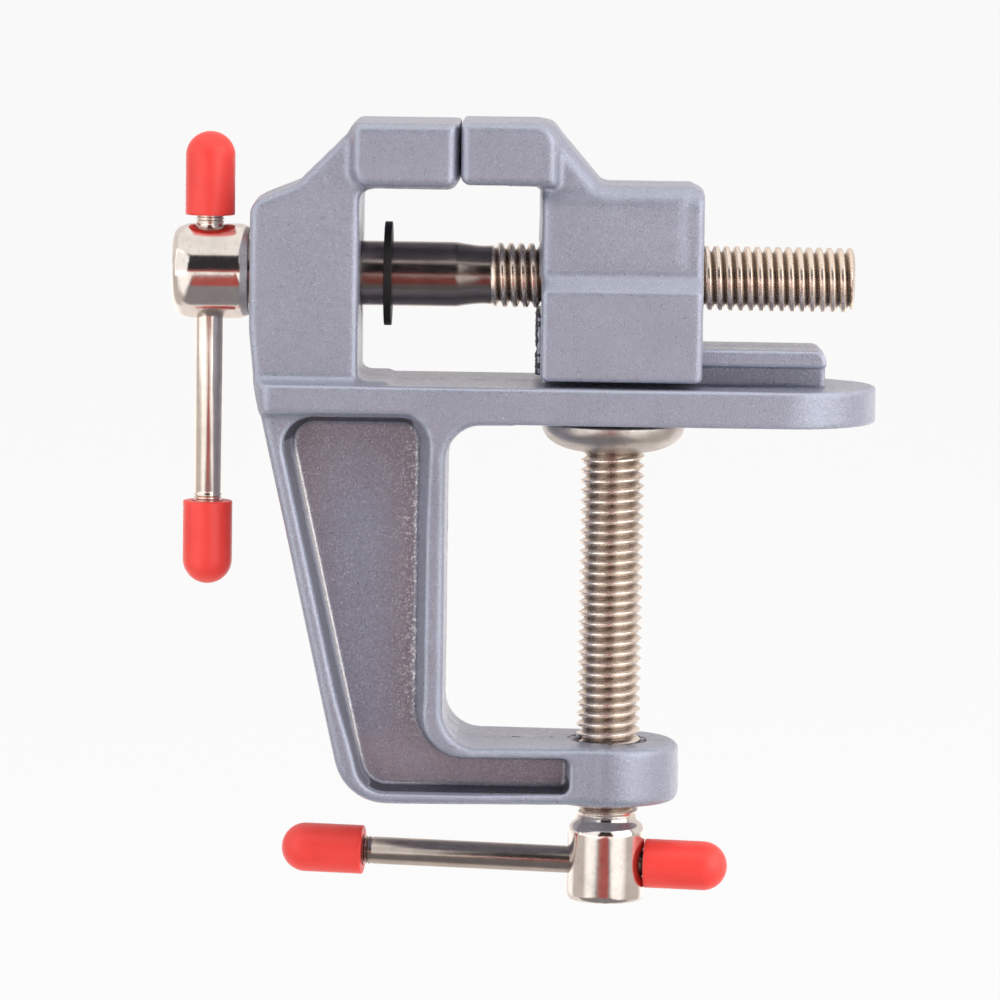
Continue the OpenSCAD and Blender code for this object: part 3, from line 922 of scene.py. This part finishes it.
# Painted shade for the panels' walls and ledges
SHADE = cast_material("cast_recess_wall", (0.20, 0.20, 0.235), 0.4, 0.8, 0.3, 0.4)
PAINTED_SHADE_WALL = cast_material("cast_recess_painted_shade", (0.065, 0.065, 0.085), 0.4, 0.8, 0.3, 0.4)
FLASH = cast_material("cast_flash", (0.05, 0.05, 0.06), 0.5, 1.0, 0.5, 0.6)
NICKEL = nickel_material("nickel_plate", 0.12, (0.84, 0.785, 0.745))
SATIN = nickel_material("nickel_satin", 0.33, (0.62, 0.578, 0.55))
DRAWN_Z = nickel_material("nickel_drawn_upright", 0.2, (0.86, 0.78, 0.72), (1, 1, 0.05))
# The level bar's darker tone is painted shade
SHADED_DRAWN_X = nickel_material("nickel_drawn_level_painted_shade", 0.22, (0.50, 0.44, 0.40), (0.05, 1, 1))
# Darker nickel for the jaw screw's shank: painted shade, for the dark undersides of the lips that it
# mirrors
SHANK = nickel_material("nickel_shank_painted_shade", 0.2, (0.31, 0.265, 0.245), (0.15, 1, 1))
# Root tones are painted shade; the jaw screw's, inside the window between the jaws, are darker
THREAD_X = thread_material("nickel_thread_level", True, (0.33, 0.28, 0.245), (0.90, 0.78, 0.68))
THREAD_Z = thread_material("nickel_thread_upright", False, (0.46, 0.39, 0.34), (0.93, 0.84, 0.765))
PLASTIC = plastic_material("red_plastic")
BLACK = black_material("black_steel")


def finish_piece(piece, body, material, slot, *nodes):
    """Gives a piece its material and the body it rides on, and hides the CAD nodes it stands for."""
    if not piece.data.materials:
        piece.data.materials.append(material)
    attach(piece, body)
    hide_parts(*nodes)


def paint(piece, material, chosen):
    """Gives a material to the faces whose centre is chosen; the rest keep theirs."""
    if material.name not in piece.data.materials:
        piece.data.materials.append(material)
    slot = piece.data.materials.find(material.name)
    polygons = piece.data.polygons
    centres = np.zeros(len(polygons) * 3)
    slots = np.zeros(len(polygons), np.int32)
    polygons.foreach_get("center", centres)
    polygons.foreach_get("material_index", slots)
    x, y, z = centres.reshape(-1, 3).T / MM
    polygons.foreach_set("material_index", np.where(chosen(x, y, z), slot, slots).astype(np.int32))


# ---------------------------------------------------------------- build the pieces
STEP = 0.36

WALL_FOOT = WEB_HALF + 0.35    # where a panel's wall rises from the web


def web_face(x, y, z):
    """The web, as far as the foot of the panel's walls."""
    return (outline_distance(x, z, PANEL_OUTLINE) < 0.1) & (np.abs(y) < WALL_FOOT)


def panel_wall(x, y, z):
    """Faces of a panel's walls, without the web and the rim."""
    reach = outline_distance(x, z, PANEL_OUTLINE)
    return (reach > -0.4) & (reach < 1.35) & (np.abs(y) > WALL_FOOT)


def left_wall(x, y, z):
    """Painted shade on the outer part of the slanted wall."""
    from_edge = x - PANEL["left"] + (z - PANEL["top"]) * PANEL_LEAN
    return panel_wall(x, y, z) & (from_edge < 0.5) & (np.abs(y) > 6.2) & (np.abs(y) < 8.9)


def top_wall(x, y, z):
    """The wall under the plate, which gets painted shade."""
    return panel_wall(x, y, z) & (z > -2.2) & (x < -24.3) & (np.abs(y) < 9.3)


def arm_ledge(x, y, z):
    """The wall along the arm's lower edge, which gets a painted dark reflection of the flange above it."""
    return panel_wall(x, y, z) & (z < -43.5) & (x > -29) & (np.abs(y) < BOSS_R - 0.3)


def bore_flash(x, y, z):
    """Ragged patches round the mouths of the two bores."""
    at_boss = (np.hypot(x, y) < 4.9) & (np.abs(z - ARM_TOP) < 0.9)
    at_wall = (np.hypot(y, z - SCREW_Z) < 4.8) & (np.abs(x - WALL_IN) < 0.8)
    return (ripple(x, y, z, 1.4, 31) > -0.1) & (at_boss | at_wall)


def throat_flash(x, y, z):
    """Specks on the front edge of the throat."""
    at_edge = (x > THROAT - 1.2) & (x < THROAT + 0.4) & (z < -4) & (z > ARM_TOP + 3) & (y < -8.3)
    return (ripple(x, y, z, 1.1, 37) > 1.15) & at_edge


def arm_flash(x, y, z):
    """Specks on the parting line on top of the arm."""
    on_line = (np.abs(y) < 0.35) & (x > THROAT) & (x < -4) & (np.abs(z - ARM_TOP) < 0.4)
    return (ripple(x, y, z, 1.6, 41) > 0.5) & on_line


frame_piece = carve("frame_casting", frame_solid, FRAME_LO, FRAME_HI, STEP)
finish_piece(frame_piece, "frame", CAST, "cast_aluminium", "frame")
# The web and the panels' walls and ledges get painted shade; the flash is dark casting flash
for material, zone in (
        (WEB, web_face), (SHADE, left_wall), (PAINTED_SHADE_WALL, top_wall), (PAINTED_SHADE_WALL, arm_ledge),
        (FLASH, bore_flash), (FLASH, throat_flash), (FLASH, arm_flash)):
    paint(frame_piece, material, zone)

jaw_piece = carve("moving_jaw_casting", moving_jaw_solid, JAW_LO, JAW_HI, STEP)
finish_piece(jaw_piece, "moving_jaw", CAST, "cast_aluminium", "moving_jaw")
paint(jaw_piece, FLASH, lambda x, y, z: (x < BLOCK_BACK - 0.1) & (z < 14) & (z > 5))

HEAD_STEP = 0.2
JAW_HEAD_R = 5.8
jaw_screw = threaded_rod("jaw_screw_rod", z_tip=29.0, z_neck=JAW_THREAD_X, flat=0.36, plain=[
    (3.54, -15.8), (3.54, -16.4), (3.6, -17.2), (3.75, -18.3), (3.86, -19.0), (SHANK_R, -19.4),
    (SHANK_R, -19.6), (SHANK_R, -32.0), (SHANK_R, -45.2)], place=along_jaw_screw)
jaw_head = carve("jaw_head", jaw_head_solid, (SCREW_LO[0], -JAW_HEAD_R, SCREW_Z - JAW_HEAD_R),
                 (JAW_HEAD_X, JAW_HEAD_R, SCREW_Z + JAW_HEAD_R), HEAD_STEP)
jaw_screw = unite(jaw_head, jaw_screw, "jaw_screw_turned")
paint(jaw_screw, NICKEL, lambda x, y, z: x < JAW_HEAD_X)
# The shank gets the darker nickel as painted shade
paint(jaw_screw, SHANK, lambda x, y, z: (x > JAW_HEAD_X) & (x < JAW_THREAD_X + 0.2))
paint(jaw_screw, THREAD_X, lambda x, y, z: x > JAW_THREAD_X + 0.2)
finish_piece(jaw_screw, "jaw_screw", NICKEL, "nickel_plate", "jaw_screw")

RING_BORE = 3.96
RING_R = 6.33
ring = turned("retaining_ring_black", [
    (RING_BORE, RING_LO[0] + 0.1), (4.06, RING_LO[0]), (6.27, RING_LO[0]), (RING_R, RING_LO[0] + 0.06),
    (RING_R, RING_HI[0] - 0.06), (6.27, RING_HI[0]), (4.06, RING_HI[0]), (RING_BORE, RING_HI[0] - 0.1),
    (RING_BORE, RING_LO[0] + 0.1)], along_jaw_screw)
clean(ring)
ring.data.set_sharp_from_angle(angle=math.radians(40))
finish_piece(ring, "jaw_screw", BLACK, "black_steel", "retaining_ring")

clamp_rod = threaded_rod(
    "clamp_screw_rod", z_tip=CLAMP_HI[2] - 3.0, z_neck=CLAMP_THREAD_Z, flat=0.12,
    plain=[(BLANK_R, -49.0), (BLANK_R, -52.5)], place=upright)
clamp_head = carve("clamp_head", clamp_head_solid,
                   (-5, -5, CLAMP_LO[2]), (5, 5, CLAMP_HEAD_Z), HEAD_STEP)
# The stub's end is peened over in the pad's recess
STUB_R = 2.0
stub = turned("stub", [
    (0, -5.2), (STUB_R, -5.2), (STUB_R, -1.38), (2.68, -1.38), (2.6, -1.0), (2.2, -0.75),
    (1.2, -0.7), (0, -0.7)], upright, 48)
clamp_screw = unite(clamp_head, clamp_rod, "clamp_screw_part")
clamp_screw = unite(clamp_screw, stub, "clamp_screw_turned")
paint(clamp_screw, NICKEL, lambda x, y, z: z < 0)
paint(clamp_screw, THREAD_Z, lambda x, y, z: z > CLAMP_THREAD_Z - 0.1)
finish_piece(clamp_screw, "clamp_screw", NICKEL, "nickel_plate", "clamp_screw")

PAD_R = PAD_HI[0] - 0.01
PAD_BORE = 2.07
PAD_UNDER = -3.79
PAD_FLOOR = -1.5
PAD_TOP = -0.32
PAD_RIM = 0.16
BOWL_R = 3.5
bowl = [(BOWL_R + (PAD_R - BOWL_R) * math.sin(a), -0.62 - 3.17 * math.cos(a))
        for a in np.radians(range(6, 91, 6))]
pad = turned("swivel_pad_turned",
             [(PAD_BORE, PAD_UNDER), (3.2, PAD_UNDER)] + bowl
             + arc(PAD_R - PAD_RIM, PAD_TOP - PAD_RIM, PAD_RIM, 0, 90, 4)
             + [(3.4, PAD_TOP), (3.3, PAD_TOP - 0.1), (3.3, PAD_FLOOR), (PAD_BORE, PAD_FLOOR),
                (PAD_BORE, PAD_UNDER)], upright, 96)
clean(pad)
pad.data.set_sharp_from_angle(angle=math.radians(38))
finish_piece(pad, "swivel_pad", SATIN, "nickel_plate", "swivel_pad")


def handle_ends(low_cap, high_cap, axis):
    """Places of the ends of a handle's two domed caps, along its axis."""
    k = int(np.argmax(np.abs(axis)))
    cad_r = CAP_R + 0.005
    low = (node_box(low_cap)[0][k] + cad_r) / axis[k] - cad_r
    high = (node_box(high_cap)[1][k] - cad_r) / axis[k] + cad_r
    return low, high


HANDLES = (
    ("jaw", on_jaw_handle, np.array((0, 0, 1)), ("lower", "upper"), DRAWN_Z),
    ("clamp", on_clamp_handle, BAR_AXIS, ("left", "right"), SHADED_DRAWN_X))
for label, place, axis, ends, drawn in HANDLES:
    nodes = [label + "_handle_cap_" + end for end in ends]
    low, high = handle_ends(*nodes, axis)
    body = label + "_handle"
    bar = handle_bar(label + "_bar_turned", low + BAR_END_GAP, high - BAR_END_GAP, place)
    bar.data.set_sharp_from_angle(angle=math.radians(50))
    finish_piece(bar, body, drawn, "nickel_plate", label + "_handle_bar")
    for end, node, mouth, direction in zip(ends, nodes, (low + CAP_L, high - CAP_L), (-1, 1)):
        cap = handle_cap(label + "_cap_" + end, mouth, direction, place)
        cap.data.set_sharp_from_angle(angle=math.radians(50))
        finish_piece(cap, body, PLASTIC, "red_plastic", node)


# ---------------------------------------------------------------- floor, light and camera
LIGHT_TONE = (1.0, 0.985, 0.96)
CLOTH = (0.46, 0.10, 0.085, 1)


def ray_kind(tree, name):
    """1 for rays of a kind, else 0."""
    return add(tree, "ShaderNodeLightPath").outputs[name]


def floor_material():
    """Pale paper. Polished metal sees a red cloth on its front part and dimmer paper in between."""
    material, tree, shader = node_material("floor_paper")
    dress(tree, shader, (0.88, 0.88, 0.88, 1), 0.0, 0.8)
    glow = add(tree, "ShaderNodeEmission", {"Color": (0.975, 0.975, 0.972, 1)})
    seen = add(tree, "ShaderNodeMixShader", {0: product(tree, ray_kind(tree, "Is Camera Ray"), 0.96)})
    tree.links.new(shader.outputs["BSDF"], seen.inputs[1])
    tree.links.new(glow.outputs["Emission"], seen.inputs[2])
    parts = split(tree, add(tree, "ShaderNodeNewGeometry").outputs["Position"])
    # Dim right in front of the object, bright to both sides and behind
    behind = remap(tree, parts["Y"], -0.012, 0.002, 0, 1)
    offside = maths(tree, "ABSOLUTE", maths(tree, "ADD", parts["X"], 0.03))
    paper = blend_colour(tree, behind, (0.27, 0.255, 0.26, 1), (0.95, 0.88, 0.83, 1))
    aside = maths(tree, "DIVIDE", offside, maths(tree, "ABSOLUTE", parts["Y"]))
    fall = remap(tree, aside, 1.2, 2.4, 0, 1)
    flank = blend_colour(tree, fall, (1.3, 1.25, 1.2, 1), (0.62, 0.56, 0.52, 1))
    paper = blend_colour(tree, remap(tree, offside, 0.07, 0.10, 0, 1), paper, flank)
    ahead = remap(tree, parts["Y"], -0.16, -0.18, 0, 1)
    cloth = product(tree, ahead, remap(tree, offside, 0.07, 0.055, 0, 1))
    mirrored = add(tree, "ShaderNodeEmission", {"Color": blend_colour(tree, cloth, paper, CLOTH)})
    mix = add(tree, "ShaderNodeMixShader", {0: ray_kind(tree, "Is Glossy Ray")})
    tree.links.new(seen.outputs["Shader"], mix.inputs[1])
    tree.links.new(mirrored.outputs["Emission"], mix.inputs[2])
    tree.links.new(mix.outputs["Shader"], tree.nodes["Material Output"].inputs["Surface"])
    return material


# The floor lies below the lowest place that the clamp screw reaches
FLOOR_GAP = 2 * MM
floor_z = CAD_BOX[0][2] + JOINTS["pad_slide"]["range_m"][0] - FLOOR_GAP
bpy.ops.mesh.primitive_plane_add(size=60, location=(0, 0, floor_z))
floor = bpy.context.object
floor.name = "floor"
floor.data.materials.append(floor_material())


def softbox(name, azimuth, elevation, distance, size, radiance, glossy=True):
    """Rectangular soft light at an angle from the front of the object, which it faces."""
    target = Vector((-0.010, 0, -0.010))
    azimuth, elevation = math.radians(azimuth), math.radians(elevation)
    toward = Vector((math.sin(azimuth) * math.cos(elevation),
                     -math.cos(azimuth) * math.cos(elevation), math.sin(elevation)))
    data = bpy.data.lights.new(name, "AREA")
    data.shape = "RECTANGLE"
    data.size, data.size_y = size
    data.energy = radiance * size[0] * size[1] * math.pi
    data.color = LIGHT_TONE
    light = bpy.data.objects.new(name, data)
    bpy.context.collection.objects.link(light)
    light.location = target + toward * distance
    light.rotation_euler = (-toward).to_track_quat("-Z", "Y").to_euler()
    light.visible_camera = False
    light.visible_glossy = glossy


softbox("soft_left", -57, 12, distance=0.75, size=(0.95, 0.9), radiance=1.1)
softbox("soft_right", 52, 12, distance=0.75, size=(0.9, 0.9), radiance=1.68)
softbox("soft_top", 0, 72, distance=0.75, size=(0.8, 0.8), radiance=2.1, glossy=False)
softbox("side_right", 88, 15, distance=0.6, size=(0.5, 0.6), radiance=2.6, glossy=False)


def studio_world():
    """Near-white to the camera, even light on matt faces, and a dark room with few lights in mirrors."""
    world = bpy.data.worlds.new("studio")
    world.use_nodes = True
    tree = world.node_tree
    parts = split(tree, add(tree, "ShaderNodeTexCoord").outputs["Generated"])
    backdrop = remap(tree, parts["Y"], -0.25, 0.15, 0, 1)
    room = blend_colour(tree, backdrop, (0.035, 0.032, 0.036, 1), (0.85, 0.79, 0.76, 1))
    # What polished metal sees of the light above
    room = blend_colour(tree, remap(tree, parts["Z"], 0.64, 0.68, 0, 1), room, (1.02, 0.99, 0.95, 1))
    # A dull red cloth in front of the object, just below the camera
    high = remap(tree, parts["Z"], 0.10, 0.07, 0, 1)
    front = remap(tree, parts["Y"], -0.90, -0.94, 0, 1)
    room = blend_colour(tree, product(tree, high, front), room, CLOTH)
    mirrored = add(tree, "ShaderNodeBackground", {"Color": room})
    even = tree.nodes["Background"]
    feed(tree, even.inputs["Color"], (0.93, 0.94, 1.0, 1))
    feed(tree, even.inputs["Strength"], 0.32)
    pale = add(tree, "ShaderNodeBackground", {"Color": (0.975, 0.975, 0.975, 1)})
    first = add(tree, "ShaderNodeMixShader", {0: ray_kind(tree, "Is Glossy Ray")})
    tree.links.new(even.outputs[0], first.inputs[1])
    tree.links.new(mirrored.outputs[0], first.inputs[2])
    second = add(tree, "ShaderNodeMixShader", {0: ray_kind(tree, "Is Camera Ray")})
    tree.links.new(first.outputs[0], second.inputs[1])
    tree.links.new(pale.outputs[0], second.inputs[2])
    tree.links.new(second.outputs[0], tree.nodes["World Output"].inputs["Surface"])
    return world


bpy.context.scene.world = studio_world()
bpy.context.scene.view_settings.view_transform = "Standard"

# The camera's angles are measured from the front of the object; its distance is in millimetres
ELEVATION = math.radians(6.3)
AZIMUTH = math.radians(0.5)
DISTANCE = 649
LENS = 190.8
LOOK_AT = np.array((-13.7, 0.0, -10.1))
ROLL = math.radians(0.85)
offset = DISTANCE * np.array((math.sin(AZIMUTH) * math.cos(ELEVATION),
                              -math.cos(AZIMUTH) * math.cos(ELEVATION), math.sin(ELEVATION)))
camera_data = bpy.data.cameras.new("camera")
camera_data.lens = LENS
camera_data.sensor_width = 36
camera = bpy.data.objects.new("camera", camera_data)
bpy.context.collection.objects.link(camera)
camera.location = (LOOK_AT + offset) * MM
turn = Vector(tuple(-offset)).to_track_quat("-Z", "Y").to_matrix().to_4x4()
camera.matrix_world = Matrix.Translation(camera.location) @ turn @ Matrix.Rotation(ROLL, 4, "Z")
bpy.context.scene.camera = camera
